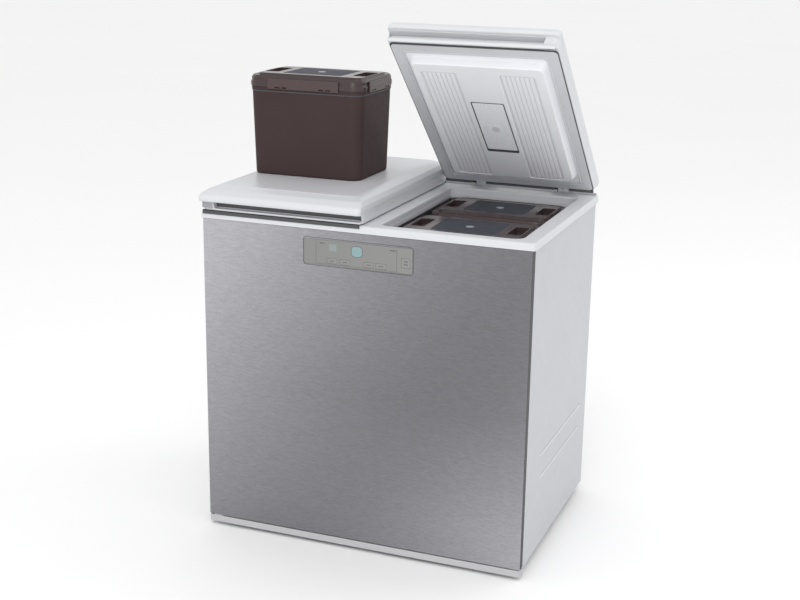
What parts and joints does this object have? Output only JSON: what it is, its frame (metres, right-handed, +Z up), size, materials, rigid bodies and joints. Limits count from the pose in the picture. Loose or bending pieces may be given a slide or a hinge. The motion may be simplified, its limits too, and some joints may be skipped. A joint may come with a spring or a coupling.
{
  "type": "chest refrigerator",
  "caption": "Chest refrigerator with side-by-side hinged top lids, one raised, deep insulated tubs, a front control panel and lidded storage containers.",
  "frame": {"origin": "middle of the bounding box's footprint, on the floor that the feet and rollers stand on", "axes": "+Z up, +X to the user's right when facing the control panel, +Y from the front panel to the rear"},
  "size_m": [0.82, 0.6112, 1.2491],
  "materials": {
    "white_plastic": "satin white moulding",
    "white_steel": "pale grey-white powder coat, faintly textured",
    "brushed_steel": "stainless sheet, grain running side to side",
    "grey_plastic": "light grey moulding",
    "panel_grey": "satin silver-grey overlay",
    "key_grey": "satin silver-grey key caps",
    "gasket_rubber": "soft pale grey extrusion",
    "bin_brown": "semi-gloss dark brown moulding",
    "clip_brown": "semi-gloss dark brown moulding",
    "foam": "rigid insulating foam, open at cut faces",
    "black_steel": "black stove enamel",
    "copper": "drawn copper tube, slightly dulled",
    "zinc_steel": "bright zinc plate",
    "black_plastic": "black moulding",
    "board_green": "green circuit board",
    "tub_metal": "satin aluminium liner"
  },
  "bodies": {
    "root": {"outer_case": "white_steel", "front_panel": "brushed_steel", "top_frame": "white_plastic", "left_tub": "tub_metal", "right_tub": "tub_metal", "foam_insulation": "foam", "base_plate": "zinc_steel", "base_trim": "grey_plastic", "machine_room_cover": "grey_plastic", "compressor": "black_steel", "condenser_coil": "copper", "fan_motor": "black_steel", "left_evaporator_coil": "copper", "right_evaporator_coil": "copper", "control_panel": "panel_grey", "control_board": "board_green", "left_lid_hinge_base_1": "zinc_steel", "left_lid_hinge_base_2": "zinc_steel", "right_lid_hinge_base_1": "zinc_steel", "right_lid_hinge_base_2": "zinc_steel", "lower_front_container_body": "bin_brown", "lower_front_container_lid": "bin_brown", "lower_rear_container_body": "bin_brown", "lower_rear_container_lid": "bin_brown"},
    "left_lid": {"left_lid_cover": "white_plastic", "left_lid_foam": "foam", "left_lid_liner": "white_plastic", "left_lid_gasket": "gasket_rubber", "left_lid_catch_plate": "zinc_steel", "left_lid_hinge_arm_1": "zinc_steel", "left_lid_hinge_arm_2": "zinc_steel"},
    "left_lid_deodoriser_cover": {"left_lid_deodoriser_cover": "white_plastic"},
    "right_lid": {"right_lid_cover": "white_plastic", "right_lid_foam": "foam", "right_lid_liner": "white_plastic", "right_lid_gasket": "gasket_rubber", "right_lid_catch_plate": "zinc_steel", "right_lid_hinge_arm_1": "zinc_steel", "right_lid_hinge_arm_2": "zinc_steel"},
    "right_lid_deodoriser_cover": {"right_lid_deodoriser_cover": "white_plastic"},
    "lid_container": {"lid_container_body": "bin_brown"},
    "lid_container_lid": {"lid_container_lid": "bin_brown"},
    "lid_container_front_clip": {"lid_container_front_clip": "clip_brown"},
    "lid_container_rear_clip": {"lid_container_rear_clip": "clip_brown"},
    "lid_container_left_clip": {"lid_container_left_clip": "clip_brown"},
    "lid_container_right_clip": {"lid_container_right_clip": "clip_brown"},
    "upper_front_container": {"upper_front_container_body": "bin_brown"},
    "upper_front_container_lid": {"upper_front_container_lid": "bin_brown"},
    "upper_rear_container": {"upper_rear_container_body": "bin_brown"},
    "upper_rear_container_lid": {"upper_rear_container_lid": "bin_brown"},
    "key_1": {"key_1": "key_grey"},
    "key_2": {"key_2": "key_grey"},
    "key_3": {"key_3": "key_grey"},
    "key_4": {"key_4": "key_grey"},
    "key_5": {"key_5": "key_grey"},
    "left_front_foot": {"left_front_foot": "grey_plastic"},
    "right_front_foot": {"right_front_foot": "grey_plastic"},
    "left_rear_roller": {"left_rear_roller": "black_plastic"},
    "right_rear_roller": {"right_rear_roller": "black_plastic"},
    "condenser_fan": {"condenser_fan": "black_plastic"}
  },
  "joints": [
    {"name": "left_lid_hinge", "type": "hinge", "parent": "root", "child": "left_lid", "pos_m": [-0.2, 0.2959, 0.8467], "axis": [-1, 0, 0], "range_deg": [0, 72]},
    {"name": "left_lid_deodoriser_cover_hinge", "type": "hinge", "parent": "left_lid", "child": "left_lid_deodoriser_cover", "pos_m": [-0.2055, -0.0841, 0.789], "axis": [-1, 0, 0], "range_deg": [0, 95]},
    {"name": "right_lid_hinge", "type": "hinge", "parent": "root", "child": "right_lid", "pos_m": [0.2, 0.2959, 0.8467], "axis": [-1, 0, 0], "range_deg": [-42.4, 29.6]},
    {"name": "right_lid_deodoriser_cover_hinge", "type": "hinge", "parent": "right_lid", "child": "right_lid_deodoriser_cover", "pos_m": [0.2055, -0.02362, 1.06033], "axis": [-1, 0, 0], "range_deg": [0, 95]},
    {"name": "lid_container_lift", "type": "slide", "parent": "left_lid", "child": "lid_container", "axis": [0, 0, 1], "range_m": [0, 0.12]},
    {"name": "lid_container_lid_lift", "type": "slide", "parent": "lid_container", "child": "lid_container_lid", "axis": [0, 0, 1], "range_m": [0, 0.05]},
    {"name": "lid_container_front_clip_hinge", "type": "hinge", "parent": "lid_container_lid", "child": "lid_container_front_clip", "pos_m": [-0.235, -0.0926, 1.0968], "axis": [-1, 0, 0], "range_deg": [0, 110]},
    {"name": "lid_container_rear_clip_hinge", "type": "hinge", "parent": "lid_container_lid", "child": "lid_container_rear_clip", "pos_m": [-0.235, 0.1304, 1.0968], "axis": [1, 0, 0], "range_deg": [0, 110]},
    {"name": "lid_container_left_clip_hinge", "type": "hinge", "parent": "lid_container_lid", "child": "lid_container_left_clip", "pos_m": [-0.388, 0.0189, 1.0968], "axis": [0, 1, 0], "range_deg": [0, 110]},
    {"name": "lid_container_right_clip_hinge", "type": "hinge", "parent": "lid_container_lid", "child": "lid_container_right_clip", "pos_m": [-0.082, 0.0189, 1.0968], "axis": [0, -1, 0], "range_deg": [0, 110]},
    {"name": "upper_front_container_lift", "type": "slide", "parent": "root", "child": "upper_front_container", "axis": [0, 0, 1], "range_m": [0, 0.235]},
    {"name": "upper_front_container_lid_lift", "type": "slide", "parent": "upper_front_container", "child": "upper_front_container_lid", "axis": [0, 0, 1], "range_m": [0, 0.05]},
    {"name": "upper_rear_container_lift", "type": "slide", "parent": "root", "child": "upper_rear_container", "axis": [0, 0, 1], "range_m": [0, 0.03]},
    {"name": "upper_rear_container_lid_lift", "type": "slide", "parent": "upper_rear_container", "child": "upper_rear_container_lid", "axis": [0, 0, 1], "range_m": [0, 0.03]},
    {"name": "key_1_press", "type": "slide", "parent": "root", "child": "key_1", "axis": [0, 1, 0], "range_m": [0, 0.001], "stiffness_N_per_m": 200},
    {"name": "key_2_press", "type": "slide", "parent": "root", "child": "key_2", "axis": [0, 1, 0], "range_m": [0, 0.001], "stiffness_N_per_m": 200},
    {"name": "key_3_press", "type": "slide", "parent": "root", "child": "key_3", "axis": [0, 1, 0], "range_m": [0, 0.001], "stiffness_N_per_m": 200},
    {"name": "key_4_press", "type": "slide", "parent": "root", "child": "key_4", "axis": [0, 1, 0], "range_m": [0, 0.001], "stiffness_N_per_m": 200},
    {"name": "key_5_press", "type": "slide", "parent": "root", "child": "key_5", "axis": [0, 1, 0], "range_m": [0, 0.001], "stiffness_N_per_m": 200},
    {"name": "left_front_foot_level", "type": "slide", "parent": "root", "child": "left_front_foot", "axis": [0, 0, 1], "range_m": [-0.012, 0]},
    {"name": "right_front_foot_level", "type": "slide", "parent": "root", "child": "right_front_foot", "axis": [0, 0, 1], "range_m": [-0.012, 0]},
    {"name": "left_rear_roller_spin", "type": "hinge", "parent": "root", "child": "left_rear_roller", "pos_m": [-0.365, 0.2299, 0.012], "axis": [1, 0, 0], "continuous": true},
    {"name": "right_rear_roller_spin", "type": "hinge", "parent": "root", "child": "right_rear_roller", "pos_m": [0.365, 0.2299, 0.012], "axis": [1, 0, 0], "continuous": true},
    {"name": "condenser_fan_spin", "type": "hinge", "parent": "root", "child": "condenser_fan", "pos_m": [-0.185, -0.0106, 0.118], "axis": [0, 1, 0], "continuous": true}
  ]
}
